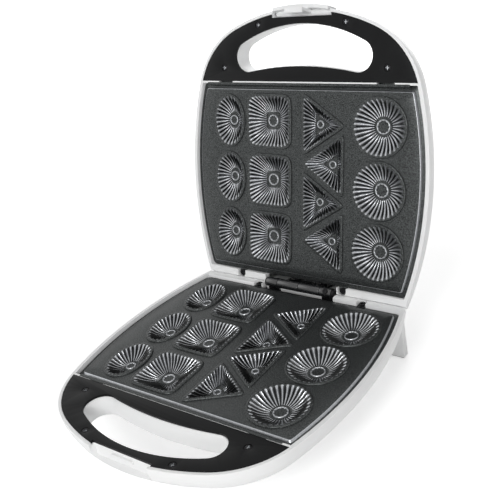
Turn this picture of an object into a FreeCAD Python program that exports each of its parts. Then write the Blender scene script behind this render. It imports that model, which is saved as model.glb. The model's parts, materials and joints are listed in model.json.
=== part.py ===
import FreeCAD, Part
import math
import os

# All sizes are millimetres. While the pieces are drawn the hinge axis runs along X through
# the origin, the front of the baker points to -Y and the two closed halves meet at Z = 0.
# Each half is drawn as a base half, measured across, forward and in depth below Z = 0.

# Rim outline shared by both shells
rim_half_width = 119.0
rim_widest_at = 100.0
rim_side_radius = 2.5924 * rim_half_width
rim_nose_at = 237.4
rim_nose_radius = 1.4706 * rim_half_width
rim_corner_radius = 0.5882 * rim_half_width
rim_gap = 0.5

# Shell section
wall = 2.5
shell_depth = 42.0
wall_height = 13.0
wall_draft = 1.8
shoulder = 6.0
handle_reach = 46.0
handle_underside = 20.0
floor_side_inset = 56.0
floor_nose_inset = 80.0
rear_overhang = 3.5
rear_chamfer = 6.6
lid_open_angle = 106.35

# Mould plate
plate_inset = 3.5
plate_back = 6.2
plate_front = 175.5
plate_border = 5.0
room_inset = 7.0
plate_thickness = 3.0
flange_depth = 3.6
field_depth = 1.6
lip_depth = 0.4
lip_width = 2.0
cavity_depth = 8.2
cup_wall = 2.4
bead_radius = 5.4
bead_width = 1.4
bead_height = 1.0
bowl_depth = 5.2
bowl_scale = 0.76
flute_depth = 1.5
lip_points = 24
cup_points = 12

# Gap between parts that drop into each other, and overlap where solids are joined or cut
fit = 0.3
bite = 1.0

# Mould positions across and forward, half sizes and flute counts
round_across = 74.5
round_rows = [143.0, 91.9, 40.7]
round_half = 22.8
round_flutes = 32
square_across = -33.0
square_rows = [143.9, 92.2, 40.7]
square_half = 21.6
square_flutes = 40
oval_across = -76.5
oval_rows = [143.0, 92.0, 40.8]
oval_half_width = 15.3
oval_half_length = 21.8
oval_flutes = 28
triangle_right_across = 15.6
triangle_left_across = 28.0
triangle_front = 142.6
triangle_pitch = 33.0
triangle_half_width = 12.4
triangle_half_length = 13.9
triangle_flutes = 33

# Plate screw tabs at the back and locating tongues at the front
base_tabs = [-42.5, 64.5]
lid_tabs = [-65.0, 42.5]
tab_width = 8.0
tab_screw_at = 3.4
tab_boss_height = 10.0
tongue_across = 79.5
tongue_width = 15.0
tongue_length = 3.2

# Handle trim, opening and screws
trim_inset = 2.7
trim_back = 177.6
trim_thickness = 2.0
opening_lobe_across = 54.5
opening_lobe_at = 198.3
opening_lobe_radius = 12.4
opening_front_at = 223.9
opening_back_at = 190.9
trim_screws = [(-80.5, 189.0), (-43.0, 224.4), (43.0, 224.4), (80.5, 189.0)]
handle_hollow_depth = 13.0
boss_diameter = 7.0

# Screws
screw_head_diameter = 5.4
screw_head_height = 1.8
screw_shank_diameter = 3.0
screw_length = 8.0
cross_width = 0.9
cross_depth = 1.0

# Hinge
knuckle_radius = 4.2
pin_diameter = 5.0
pin_clearance = 0.05
hinge_half_length = 34.0
lid_knuckle_reach = 22.0
knuckle_gap = 0.4
leaf_thickness = 2.0
leaf_depth = 24.0
pin_head_diameter = 7.6
pin_head_height = 2.0
pin_tail = 1.6
retainer_thickness = 1.0
barrel_room = 1.4
leaf_screw_across = 14.0
leaf_screw_depth = 18.0
leaf_screw_length = 4.2
leaf_screw_room = 5.0
set_screw_across = 28.5
set_screw_angle = 45.0
set_screw_seat = 3.8
set_screw_head_height = 1.2
set_screw_head_diameter = 4.6
set_screw_diameter = 2.0
set_screw_length = 1.2

# Latch
latch_half_width = 27.0
latch_thickness = 3.0
latch_height = 12.0
latch_drop = 1.5
latch_pivot_at = rim_nose_at - 4.5
latch_pivot_depth = 7.0
latch_pin_diameter = 3.0
latch_sleeve_diameter = 5.0
latch_hook_half_width = 8.5
latch_hook_thickness = 2.4
latch_hook_length = 10.5
latch_barb = 1.8
latch_barb_height = 2.5
latch_recess_back = rim_nose_at - 7.6
latch_recess_depth = 13.0
latch_rest_angle = 8.0
latch_proud = 1.2
latch_web = 3.0
latch_side_gap = 1.5
latch_slack = 1.0
latch_pin_reach = 5.5
trim_notch_gap = 2.5
ledge_reach = 1.8
ledge_height = 2.5

# Heating parts
element_diameter = 6.4
element_half_width = 70.0
element_back = 24.0
element_front = 148.0
element_bend = 24.0
element_leg_across = 30.0
reflector_depth = 19.0
reflector_thickness = 0.8
reflector_side_inset = 26.0
reflector_nose_inset = 74.0
reflector_back = 14.0
post_across = 46.0
post_rows = [48.0, 126.0]
post_diameter = 8.0

# Control parts inside the shells
thermostat_at = 92.0
thermostat_diameter = 16.0
thermostat_height = 10.0
thermostat_foot = 12.0
thermostat_gap = 1.0
blade_across = 4.0
blade_width = 4.0
blade_thickness = 0.8
blade_length = 6.0
fuse_across = 30.0
fuse_at = 63.0
fuse_clip_length = 18.0
fuse_clip_width = 6.0
fuse_clip_height = 5.0
fuse_diameter = 3.6
fuse_length = 28.0
terminal_across = 28.0
terminal_at = 25.0
terminal_width = 36.0
terminal_length = 14.0
terminal_height = 12.0
terminal_pitch = 11.0
terminal_hole = 5.0
terminal_hole_depth = 8.0

# Lamps in the lid
lamp_across = 12.0
lamp_at = 140.0
lamp_diameter = 9.0
lens_rim = 1.0
lens_head = 1.8
lens_dome = 1.4
lens_stem = 8.0
bulb_diameter = 5.0
bulb_length = 9.0

# Cord gland in the rear wall
gland_across = 60.0
gland_depth = 22.0
gland_diameter = 10.0
gland_inside = 3.0
gland_flange_diameter = 14.0
gland_flange_thickness = 4.0
gland_bore_diameter = 6.6

# Legs and feet
leg_inner = 84.0
leg_outer = 98.0
leg_thickness = 6.5
leg_depth = 48.8
rear_pad_height = 1.2
rear_pad_inset = 1.0
front_foot_across = 45.0
front_foot_at = 132.0
front_foot_diameter = 16.0

half_gap = rim_gap / 2
foot_height = leg_depth + rear_pad_height
seat_depth = flange_depth + plate_thickness
back_inside = wall - rear_overhang
trim_seat = half_gap + trim_thickness
far = 400.0


def point(across, forward, depth):
    return FreeCAD.Vector(across, -forward, -depth)


def box(across, forward, depth):
    """Block between pairs of across, forward and depth values."""
    corner = point(across[0], forward[1], depth[1])
    return Part.makeBox(across[1] - across[0], forward[1] - forward[0], depth[1] - depth[0], corner)


def upright(across, forward, depth, diameter):
    """Round bar standing between a pair of depths."""
    foot = point(across, forward, depth[1])
    return Part.makeCylinder(diameter / 2, depth[1] - depth[0], foot)


def crossways(across, forward, depth, diameter):
    """Round bar lying across the baker between a pair of across values."""
    end = point(across[0], forward, depth)
    return Part.makeCylinder(diameter / 2, across[1] - across[0], end, FreeCAD.Vector(1, 0, 0))


def prism(wire, height):
    """Solid below a flat wire."""
    return Part.Face(wire).extrude(FreeCAD.Vector(0, 0, -height))


def join(shapes):
    return shapes[0].multiFuse(shapes[1:]).removeSplitter()


def on_circle(centre, radius, angle, depth, side=1):
    across = centre[0] + radius * math.cos(angle)
    return point(side * across, centre[1] + radius * math.sin(angle), depth)


def arc(centre, radius, first, last, depth, side=1):
    middle = (first + last) / 2
    ends = [on_circle(centre, radius, angle, depth, side) for angle in (first, middle, last)]
    return Part.Arc(*ends).toShape()


def side_circle(inset):
    return (rim_half_width - rim_side_radius, rim_widest_at), rim_side_radius - inset


def outline(side_inset, nose_inset, back, depth):
    """Shell outline: two side arcs, two corner arcs and a nose arc, closed at the back."""
    side, side_radius = side_circle(side_inset)
    nose_radius = max(rim_nose_radius - nose_inset, rim_half_width - side_inset)
    nose = (0.0, rim_nose_at - nose_inset - nose_radius)
    corner_radius = max(rim_corner_radius - min(side_inset, nose_inset), rim_corner_radius / 3)
    run = nose[0] - side[0]
    rise = nose[1] - side[1]
    span = math.hypot(run, rise)
    side_reach = side_radius - corner_radius
    nose_reach = nose_radius - corner_radius
    along = (side_reach ** 2 - nose_reach ** 2 + span ** 2) / (2 * span)
    away = math.sqrt(side_reach ** 2 - along ** 2)
    corner_across = side[0] + (along * run - away * rise) / span
    corner_forward = side[1] + (along * rise + away * run) / span
    corner = (corner_across, corner_forward)
    start = math.asin((back - side[1]) / side_radius)
    turn = math.atan2(corner[1] - side[1], corner[0] - side[0])
    tip = math.atan2(corner[1] - nose[1], corner[0] - nose[0])
    edges = [
        arc(side, side_radius, start, turn, depth),
        arc(corner, corner_radius, turn, tip, depth),
        arc(nose, nose_radius, tip, math.pi - tip, depth),
        arc(corner, corner_radius, tip, turn, depth, -1),
        arc(side, side_radius, turn, start, depth, -1),
    ]
    edges.append(Part.LineSegment(on_circle(side, side_radius, start, depth, -1),
                                  on_circle(side, side_radius, start, depth)).toShape())
    return Part.Wire(edges)


def tray(inset, back, front, depth):
    """Outline with curved sides and straight back and front edges."""
    side, radius = side_circle(inset)
    start = math.asin((back - side[1]) / radius)
    stop = math.asin((front - side[1]) / radius)
    right = arc(side, radius, start, stop, depth)
    left = arc(side, radius, stop, start, depth, -1)
    front_edge = Part.LineSegment(on_circle(side, radius, stop, depth),
                                  on_circle(side, radius, stop, depth, -1)).toShape()
    back_edge = Part.LineSegment(on_circle(side, radius, start, depth, -1),
                                 on_circle(side, radius, start, depth)).toShape()
    return Part.Wire([right, front_edge, left, back_edge])


def handle_opening(grow, depth):
    """Bean-shaped finger opening of the handle."""
    radius = opening_lobe_radius + grow
    front = opening_front_at + grow - opening_lobe_at
    back = opening_lobe_at - opening_back_at + grow
    spread = opening_lobe_across ** 2
    front_radius = (spread + front ** 2 - radius ** 2) / (2 * (front - radius))
    back_radius = (spread + back ** 2 - radius ** 2) / (2 * (radius - back))
    front_centre = (0.0, opening_lobe_at + front - front_radius)
    back_centre = (0.0, opening_lobe_at - back - back_radius)
    lobe = (opening_lobe_across, opening_lobe_at)
    front_tip = math.atan2(lobe[1] - front_centre[1], lobe[0])
    back_tip = math.atan2(lobe[1] - back_centre[1], lobe[0])
    edges = [
        arc(front_centre, front_radius, front_tip, math.pi - front_tip, depth),
        arc(lobe, radius, front_tip, back_tip - math.pi, depth, -1),
        arc(back_centre, back_radius, math.pi - back_tip, back_tip, depth),
        arc(lobe, radius, back_tip - math.pi, front_tip, depth),
    ]
    return Part.Wire(edges)


def handle_part(shape):
    """Keep what lies in front of the trim's back edge."""
    return shape.common(box((-far, far), (trim_back, far), (-far, far)))


def screw(across, forward, depth):
    """Cross-head screw whose head sits on a face at the given depth."""
    head = upright(across, forward, (depth - screw_head_height, depth), screw_head_diameter)
    shank = upright(across, forward, (depth, depth + screw_length), screw_shank_diameter)
    top = depth - screw_head_height
    arm = screw_head_diameter / 3
    half = cross_width / 2
    deep = (top - bite, top + cross_depth)
    slot = box((across - arm, across + arm), (forward - half, forward + half), deep)
    second = box((across - half, across + half), (forward - arm, forward + arm), deep)
    return head.fuse(shank).cut(slot).cut(second).removeSplitter()


def screw_hole(across, forward, depth):
    deep = (depth - screw_length / 2, depth + screw_length + fit)
    return upright(across, forward, deep, screw_shank_diameter + 2 * pin_clearance)


# Mould shapes: sides and sharpness of the outline, half sizes and number of flutes
round_mould = (4, 2.0, round_half, round_half, round_flutes)
square_mould = (4, 6.0, square_half, square_half, square_flutes)
oval_mould = (4, 2.0, oval_half_width, oval_half_length, oval_flutes)
triangle_mould = (3, 8.0, triangle_half_width, triangle_half_length, triangle_flutes)


def mould_places():
    """Every mould of one plate as shape, across, forward and facing."""
    places = [(round_mould, round_across, row, 1) for row in round_rows]
    places += [(square_mould, square_across, row, 1) for row in square_rows]
    places += [(oval_mould, oval_across, row, 1) for row in oval_rows]
    for index in range(4):
        row = triangle_front - index * triangle_pitch
        facing = -1 if index % 2 == 0 else 1
        across = triangle_right_across if facing < 0 else triangle_left_across
        places.append((triangle_mould, across, row, facing))
    return places


def mould_curve(mould, grow, angle):
    sides, sharpness, half_width, half_length, flutes = mould
    total = 0.0
    for side in range(sides):
        total += max(0.0, math.cos(angle - 2 * math.pi * side / sides)) ** sharpness
    reach = total ** (-1 / sharpness)
    across = (half_width + grow) * reach * math.cos(angle)
    return across, (half_length + grow) * reach * math.sin(angle)


def mould_ring(mould, grow, count):
    """Points spaced evenly along a mould outline."""
    steps = 720
    curve = [mould_curve(mould, grow, 2 * math.pi * k / steps) for k in range(steps + 1)]
    travelled = [0.0]
    for k in range(steps):
        travelled.append(travelled[-1] + math.dist(curve[k], curve[k + 1]))
    ring = []
    k = 0
    for index in range(count):
        target = travelled[-1] * index / count
        while travelled[k + 1] < target:
            k += 1
        ring.append(curve[k])
    return ring


def place_ring(ring, place, scale, depth):
    mould, across, forward, facing = place
    return [point(across + facing * scale * x, forward + scale * y, depth) for x, y in ring]


def polygon_prism(points, height):
    return prism(Part.makePolygon(points + points[:1]), height)


def zigzag(ring, depth, mean_half):
    """Draw every second point of a ring inwards to make the ridges between flutes."""
    drawn = 1 - depth / mean_half
    return [(x * drawn, y * drawn) if k % 2 == 0 else (x, y) for k, (x, y) in enumerate(ring)]


def flute_cutter(place):
    """Closed body of one fluted mould: a zigzag mouth, a zigzag waist and a small flat floor."""
    mould = place[0]
    flutes = mould[4]
    mean_half = (mould[2] + mould[3]) / 2
    ring = mould_ring(mould, 0, 2 * flutes)
    floor_scale = (bead_radius + bead_width) / mean_half
    mouth = place_ring(zigzag(ring, flute_depth, mean_half), place, 1.0, 0.0)
    waist = place_ring(zigzag(ring, flute_depth, mean_half), place, bowl_scale, bowl_depth)
    floor = place_ring(ring[::2], place, floor_scale, cavity_depth)
    triangles = []
    for k in range(2 * flutes):
        after = (k + 1) % (2 * flutes)
        triangles.append((mouth[k], mouth[after], waist[k]))
        triangles.append((mouth[after], waist[after], waist[k]))
    for k in range(flutes):
        ridge = waist[2 * k]
        valley = waist[2 * k + 1]
        next_ridge = waist[(2 * k + 2) % (2 * flutes)]
        here = floor[k]
        after = floor[(k + 1) % flutes]
        triangles += [(ridge, valley, here), (valley, after, here), (valley, next_ridge, after)]
    faces = [Part.Face(Part.makePolygon(list(corners) + [corners[0]])) for corners in triangles]
    faces.append(Part.Face(Part.makePolygon(floor + floor[:1])))
    faces.append(Part.Face(Part.makePolygon(mouth + mouth[:1])))
    body = Part.makeSolid(Part.makeShell(faces))
    if body.Volume < 0:
        body.reverse()
    return body


def centre_bead(place):
    """Low round bead on the floor of a mould."""
    across, forward = place[1:3]
    top = cavity_depth - bead_height
    bead = upright(across, forward, (top, cavity_depth + bite), 2 * bead_radius)
    return bead.cut(upright(across, forward, (0, cavity_depth), 2 * (bead_radius - bead_width)))


def plate_blank():
    """Cast plate with thirteen fluted moulds, without its screw tabs."""
    flange = prism(tray(plate_inset, plate_back, plate_front, flange_depth), plate_thickness)
    field_wire = tray(plate_inset + plate_border, plate_back + plate_border,
                      plate_front - plate_border, field_depth)
    solids = [flange, prism(field_wire, flange_depth - field_depth + bite)]
    cutters = []
    beads = []
    for place in mould_places():
        mould = place[0]
        lip = place_ring(mould_ring(mould, lip_width, lip_points), place, 1.0, lip_depth)
        cup = place_ring(mould_ring(mould, cup_wall, cup_points), place, 1.0, field_depth + bite)
        solids.append(polygon_prism(lip, field_depth - lip_depth + bite))
        solids.append(polygon_prism(cup, cavity_depth + cup_wall - field_depth - bite))
        cutters.append(flute_cutter(place))
        beads.append(centre_bead(place))
    for side in (-1, 1):
        tongue = (side * tongue_across - tongue_width / 2, side * tongue_across + tongue_width / 2)
        solids.append(box(tongue, (plate_front - bite, plate_front + tongue_length),
                          (flange_depth, seat_depth)))
    return join([join(solids).cut(Part.makeCompound(cutters))] + beads)


def with_tabs(blank, tabs):
    """Add the rear screw tabs and their holes to a plate."""
    solids = [blank]
    holes = []
    for across in tabs:
        half = tab_width / 2
        solids.append(upright(across, tab_screw_at, (flange_depth, seat_depth), tab_width))
        solids.append(box((across - half, across + half), (tab_screw_at, plate_back + bite),
                          (flange_depth, seat_depth)))
        holes.append(screw_hole(across, tab_screw_at, flange_depth))
    return join(solids).cut(Part.makeCompound(holes))


def shell_sections():
    """Depth, side inset and nose inset of each section from the rim to the floor."""
    lower = handle_underside
    drop = shell_depth - lower
    draft = wall_draft
    return [
        (half_gap, 0.0, 0.0),
        (0.6 * wall_height, 0.25 * draft, 0.25 * draft),
        (wall_height, draft, draft),
        (wall_height + 0.45 * shoulder, draft + 0.35 * shoulder, draft + 0.4 * shoulder),
        (wall_height + 0.8 * shoulder, draft + shoulder, draft + 1.3 * shoulder),
        (lower, draft + 1.9 * shoulder, handle_reach),
        (lower + 0.25 * drop, 0.42 * floor_side_inset, 0.72 * floor_nose_inset),
        (lower + 0.6 * drop, 0.64 * floor_side_inset, 0.82 * floor_nose_inset),
        (lower + 0.87 * drop, 0.84 * floor_side_inset, 0.91 * floor_nose_inset),
        (shell_depth, floor_side_inset, floor_nose_inset),
    ]


def shell_body():
    """Hollow moulded half shell without the openings that differ between base and lid."""
    sections = shell_sections()
    wires = [outline(side, nose, -rear_overhang, depth) for depth, side, nose in sections]
    body = Part.makeLoft(wires, True, True)
    room_front = plate_front - wall
    bowl_nose = rim_nose_at - room_front
    room_depth = wall_height + 0.6 * shoulder
    bowl = []
    for depth, side, nose in sections[5:]:
        inner_depth = depth - wall if depth == shell_depth else depth - 0.4 * wall
        bowl.append(outline(side + wall, max(nose + wall, bowl_nose), back_inside, inner_depth))
    bowl.insert(0, outline(sections[4][1] + wall, bowl_nose, back_inside, room_depth - bite))
    pocket_wire = tray(plate_inset - fit, plate_back - fit, plate_front + fit, -bite)
    pocket = prism(pocket_wire, seat_depth + bite)
    room = prism(tray(room_inset, back_inside, room_front, seat_depth - fit), room_depth - seat_depth)
    trim_wire = outline(trim_inset - fit, trim_inset - fit, rim_widest_at, -bite)
    trim_room = handle_part(prism(trim_wire, trim_seat + bite))
    grip = prism(handle_opening(0.0, -bite), far)
    body = body.cut(Part.makeCompound([Part.makeLoft(bowl, True, True)]))
    for cutter in (pocket, room, trim_room, grip):
        body = body.cut(cutter)
    return body.cut(handle_hollow()).cut(rear_bevel()).cut(latch_recess())


def handle_hollow():
    """Space under the trim, leaving screw bosses, the opening's wall and the latch wall."""
    inset = trim_inset + wall
    space = prism(outline(inset, inset, rim_widest_at, trim_seat - fit), handle_hollow_depth)
    space = space.common(box((-far, far), (trim_back + wall, far), (-far, far)))
    keep = [prism(handle_opening(wall, -bite), far)]
    keep.append(box((-latch_half_width - 2 * wall, latch_half_width + 2 * wall),
                    (latch_recess_back - wall, far), (-bite, far)))
    for across, forward in trim_screws:
        keep.append(upright(across, forward, (-bite, far), boss_diameter))
    return space.cut(Part.makeCompound(keep))


def rear_bevel():
    """Slope behind the hinge axis that lets the lid lean back."""
    corners = [point(-far, rim_gap, -bite), point(-far, rim_gap, 0),
               point(-far, -rear_overhang, rear_chamfer), point(-far, -far, rear_chamfer),
               point(-far, -far, -bite)]
    return Part.Face(Part.makePolygon(corners + corners[:1])).extrude(FreeCAD.Vector(2 * far, 0, 0))


def latch_recess():
    """Notch in the nose of a shell for the latch clip."""
    half = latch_half_width + latch_side_gap
    return box((-half, half), (latch_recess_back, far), (-bite, latch_recess_depth))


def hinge_recess():
    """Room for the barrel and the leaves at the back of a shell."""
    half = hinge_half_length + pin_head_height + barrel_room
    barrel = box((-half, half), (-far, plate_back - fit), (-bite, knuckle_radius + barrel_room))
    leaf_room = box((-half, half), (back_inside, plate_back - fit), (0, seat_depth + fit))
    return barrel.fuse(leaf_room)


def finish_shell(body, tabs):
    """Cut the hinge recess, screw holes, tab pockets and tongue slots; add the posts."""
    cutters = [hinge_recess()]
    posts = []
    for across in tabs:
        half = tab_width / 2 + fit
        cutters.append(upright(across, tab_screw_at, (-bite, seat_depth), tab_width + 2 * fit))
        cutters.append(box((across - half, across + half), (tab_screw_at, plate_back + bite),
                           (-bite, seat_depth)))
        tall = (seat_depth, seat_depth + tab_boss_height)
        posts.append(upright(across, tab_screw_at, tall, boss_diameter))
        posts.append(box((across - wall, across + wall), (back_inside - bite, tab_screw_at), tall))
    for side in (-1, 1):
        half = tongue_width / 2 + fit
        cutters.append(box((side * tongue_across - half, side * tongue_across + half),
                           (plate_front, plate_front + tongue_length + fit), (-bite, seat_depth)))
    tall = (reflector_depth + reflector_thickness, shell_depth - wall / 2)
    for side in (-1, 1):
        for row in post_rows:
            posts.append(upright(side * post_across, row, tall, post_diameter))
    room = box((-far, far), (fit - rear_overhang, far), (-far, far))
    body = body.cut(Part.makeCompound(cutters)).multiFuse([post.common(room) for post in posts])
    holes = [screw_hole(across, forward, trim_seat) for across, forward in trim_screws]
    holes += [screw_hole(across, tab_screw_at, seat_depth) for across in tabs]
    for side in (-1, 1):
        holes.append(leaf_screw_hole(side))
    return body.cut(Part.makeCompound(holes))


def base_shell(blank):
    """Base shell with rear legs, latch ledge and cord inlet hole."""
    solids = [finish_shell(blank, base_tabs)]
    for side in (-1, 1):
        across = sorted((side * leg_inner, side * leg_outer))
        solids.append(box(across, (-rear_overhang, leg_thickness - rear_overhang),
                          (wall_height, leg_depth)))
    half = latch_hook_half_width + latch_side_gap
    ledge_low = latch_hook_length - latch_barb_height - latch_slack
    solids.append(box((-half, half), (latch_recess_back - bite, latch_recess_back + ledge_reach),
                      (ledge_low - ledge_height, ledge_low)))
    shell = solids[0].multiFuse(solids[1:])
    return shell.cut(gland_bore(gland_diameter + 2 * pin_clearance))


def lid_shell(blank):
    """Lid shell with the latch pin's bores and the holes of the two lamp lenses."""
    shell = finish_shell(blank, lid_tabs)
    half = latch_half_width + latch_pin_reach + fit
    shell = shell.cut(crossways((-half, half), latch_pivot_at, latch_pivot_depth,
                                latch_pin_diameter + 2 * pin_clearance))
    for side in (-1, 1):
        shell = shell.cut(upright(side * lamp_across, lamp_at, (shell_depth - 2 * wall, far),
                                  lamp_diameter + 2 * pin_clearance))
    return shell


def handle_trim():
    """Flat black cover of the handle, with its opening, latch notch and screw holes."""
    wire = outline(trim_inset, trim_inset, rim_widest_at, half_gap)
    trim = handle_part(prism(wire, trim_thickness))
    trim = trim.cut(prism(handle_opening(2 * fit, -bite), far))
    half = latch_half_width + trim_notch_gap
    trim = trim.cut(box((-half, half), (latch_recess_back, far), (-bite, far)))
    for across, forward in trim_screws:
        trim = trim.cut(screw_hole(across, forward, trim_seat))
        trim = trim.cut(upright(across, forward, (-bite, half_gap + screw_head_height / 2),
                                screw_head_diameter + 2 * fit))
    return trim


def trim_screw_set():
    seat = half_gap + screw_head_height / 2
    return Part.makeCompound([screw(across, forward, seat) for across, forward in trim_screws])


def plate_screw_set(tabs):
    return Part.makeCompound([screw(across, tab_screw_at, flange_depth) for across in tabs])


def heating_element():
    """Bent tube under the moulds whose two cold ends run to the back."""
    depth = cavity_depth + cup_wall + element_diameter / 2 + pin_clearance
    bend = element_bend
    corner = bend * (1 - math.sqrt(0.5))
    width = element_half_width
    right = [(element_leg_across, element_back), (width - bend, element_back),
             (width - corner, element_back + corner), (width, element_back + bend),
             (width, element_front - bend), (width - corner, element_front - corner),
             (width - bend, element_front)]
    places = [point(across, forward, depth) for across, forward in right]
    mirror = [point(-across, forward, depth) for across, forward in right]
    edges = []
    for run in (places, mirror):
        edges.append(Part.LineSegment(run[0], run[1]).toShape())
        edges.append(Part.Arc(run[1], run[2], run[3]).toShape())
        edges.append(Part.LineSegment(run[3], run[4]).toShape())
        edges.append(Part.Arc(run[4], run[5], run[6]).toShape())
    edges.append(Part.LineSegment(places[6], mirror[6]).toShape())
    path = Part.Wire(Part.__sortEdges__(edges))
    start = Part.Circle(places[0], FreeCAD.Vector(1, 0, 0), element_diameter / 2)
    return path.makePipeShell([Part.Wire(start.toShape())], True, False)


def reflector():
    """Sheet pan on the posts under the element."""
    wire = outline(reflector_side_inset, reflector_nose_inset, reflector_back, reflector_depth)
    pan = prism(wire, reflector_thickness)
    return pan.cut(upright(0, thermostat_at, (0, far), thermostat_diameter + 2 * thermostat_gap))


def hinge_bracket(knuckles, leaf_half):
    """Knuckles on a leaf that is screwed to the inside of a rear wall."""
    leaf_faces = (back_inside, back_inside + leaf_thickness)
    top = leaf_depth / 2
    solids = [box((-leaf_half, leaf_half), leaf_faces, (top, leaf_depth))]
    for across in knuckles:
        solids.append(crossways(across, 0, 0, 2 * knuckle_radius))
        solids.append(box(across, leaf_faces, (pin_diameter / 2 + fit, leaf_depth)))
    bore = crossways((-far, far), 0, 0, pin_diameter + 2 * pin_clearance)
    bracket = join(solids).cut(bore)
    for side in (-1, 1):
        bracket = bracket.cut(leaf_screw_hole(side))
    return bracket


def leaf_screw_hole(side):
    """Hole through a leaf and most of the rear wall behind it."""
    start = point(side * leaf_screw_across, leaf_thickness + leaf_screw_room, leaf_screw_depth)
    reach = leaf_thickness + leaf_screw_room + rear_overhang - fit
    radius = screw_shank_diameter / 2 + pin_clearance
    return Part.makeCylinder(radius, reach, start, FreeCAD.Vector(0, 1, 0))


def leaf_screw_set():
    """Screws that hold a hinge leaf to the rear wall from inside."""
    seat = back_inside + leaf_thickness
    solids = []
    for side in (-1, 1):
        start = point(side * leaf_screw_across, seat, leaf_screw_depth)
        head = point(side * leaf_screw_across, seat + screw_head_height, leaf_screw_depth)
        back = FreeCAD.Vector(0, 1, 0)
        shank = Part.makeCylinder(screw_shank_diameter / 2, leaf_screw_length, start, back)
        cap = Part.makeCylinder(screw_head_diameter / 2, screw_head_height, head, back)
        solids.append(cap.fuse(shank).removeSplitter())
    return Part.makeCompound(solids)


def set_screw_bar(low, high, diameter):
    """Round bar pointing out of the right knuckle between two distances from the hinge axis."""
    turn = math.radians(set_screw_angle)
    start = point(set_screw_across, low * math.cos(turn), -low * math.sin(turn))
    way = FreeCAD.Vector(0, -math.cos(turn), math.sin(turn))
    return Part.makeCylinder(diameter / 2, high - low, start, way)


def set_screw():
    """Cross-head screw that locks the pin in the right knuckle."""
    top = set_screw_seat + set_screw_head_height
    head = set_screw_bar(set_screw_seat, top, set_screw_head_diameter)
    shank = set_screw_bar(set_screw_seat - set_screw_length, set_screw_seat, set_screw_diameter)
    arm = set_screw_head_diameter / 3
    half = cross_width / 2
    deep = (-top - bite, cross_depth / 2 - top)
    slots = box((set_screw_across - arm, set_screw_across + arm), (-half, half), deep)
    slots = slots.fuse(box((set_screw_across - half, set_screw_across + half), (-arm, arm), deep))
    slots.rotate(FreeCAD.Vector(0, 0, 0), FreeCAD.Vector(1, 0, 0), 90 - set_screw_angle)
    return head.fuse(shank).cut(slots).removeSplitter()


def set_screw_seat_cut():
    """Spot face and hole for the set screw."""
    face = set_screw_bar(set_screw_seat, 2 * knuckle_radius, set_screw_head_diameter + 2 * fit)
    return face.fuse(set_screw_bar(0, set_screw_seat, set_screw_diameter + 2 * pin_clearance))


def latch():
    """Arched clip with a pivot sleeve and a barbed hook, drawn on the base side."""
    centre = point(0, rim_nose_at - rim_nose_radius, latch_height)
    outer_radius = rim_nose_radius + latch_proud
    tall = latch_height + latch_drop
    outer = Part.makeCylinder(outer_radius, tall, centre)
    inner = Part.makeCylinder(outer_radius - latch_thickness, tall, centre)
    half = latch_half_width
    clip = outer.cut(inner).common(box((-half, half), (latch_pivot_at, far), (-far, far)))
    sleeve = crossways((-half, half), latch_pivot_at, latch_pivot_depth, latch_sleeve_diameter)
    web = box((-half, half), (latch_pivot_at, rim_nose_at - latch_thickness),
              (latch_pivot_depth - latch_web / 2, latch_pivot_depth + latch_web / 2))
    hook_back = latch_recess_back + ledge_reach + fit
    hook_faces = (hook_back, hook_back + latch_hook_thickness)
    hook = (-latch_hook_half_width, latch_hook_half_width)
    arm = box(hook, hook_faces, (-latch_hook_length, latch_pivot_depth))
    root = box(hook, (hook_back, rim_nose_at - rim_gap), (-latch_drop, latch_web))
    barb = box(hook, (hook_back - latch_barb, hook_faces[1]),
               (-latch_hook_length, latch_barb_height - latch_hook_length))
    bore = crossways((-far, far), latch_pivot_at, latch_pivot_depth,
                     latch_pin_diameter + 2 * pin_clearance)
    return join([clip, sleeve, web, arm, root, barb]).cut(bore)


def feet():
    """Two round front feet and two pads under the rear legs."""
    solids = []
    inset = rear_pad_inset
    faces = (inset - rear_overhang, leg_thickness - rear_overhang - inset)
    for side in (-1, 1):
        across = sorted((side * (leg_inner + inset), side * (leg_outer - inset)))
        solids.append(upright(side * front_foot_across, front_foot_at, (shell_depth, foot_height),
                              front_foot_diameter))
        solids.append(box(across, faces, (leg_depth, foot_height)))
    return Part.makeCompound(solids)


def gland_bore(diameter):
    start = point(gland_across, 2 * gland_inside, gland_depth)
    reach = 4 * gland_inside + rear_overhang + gland_flange_thickness
    return Part.makeCylinder(diameter / 2, reach, start, FreeCAD.Vector(0, 1, 0))


def cord_gland():
    """Flanged rubber bush in the rear wall with the bore for the mains cord."""
    start = point(gland_across, gland_inside, gland_depth)
    flange_face = point(gland_across, -rear_overhang, gland_depth)
    back = FreeCAD.Vector(0, 1, 0)
    bush = Part.makeCylinder(gland_diameter / 2, gland_inside + rear_overhang + bite, start, back)
    flange = Part.makeCone(gland_flange_diameter / 2, gland_diameter / 2, gland_flange_thickness,
                           flange_face, back)
    return bush.fuse(flange).cut(gland_bore(gland_bore_diameter)).removeSplitter()


def lamp_lens(side):
    """Domed lens set in the lid, its head outside and its stem inside."""
    across = side * lamp_across
    stem = upright(across, lamp_at, (shell_depth - lens_stem, shell_depth), lamp_diameter)
    head = upright(across, lamp_at, (shell_depth, shell_depth + lens_head), lamp_diameter + 2 * lens_rim)
    tip = [edge for edge in head.Edges if edge.BoundBox.ZMax < -shell_depth - lens_head / 2]
    return stem.fuse(head.makeFillet(lens_dome, tip)).removeSplitter()


def lamps():
    """Two indicator bulbs standing on the stems of the lenses."""
    stem = shell_depth - lens_stem
    tall = (stem - bulb_length, stem)
    return Part.makeCompound([upright(side * lamp_across, lamp_at, tall, bulb_diameter) for side in (-1, 1)])


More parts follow.
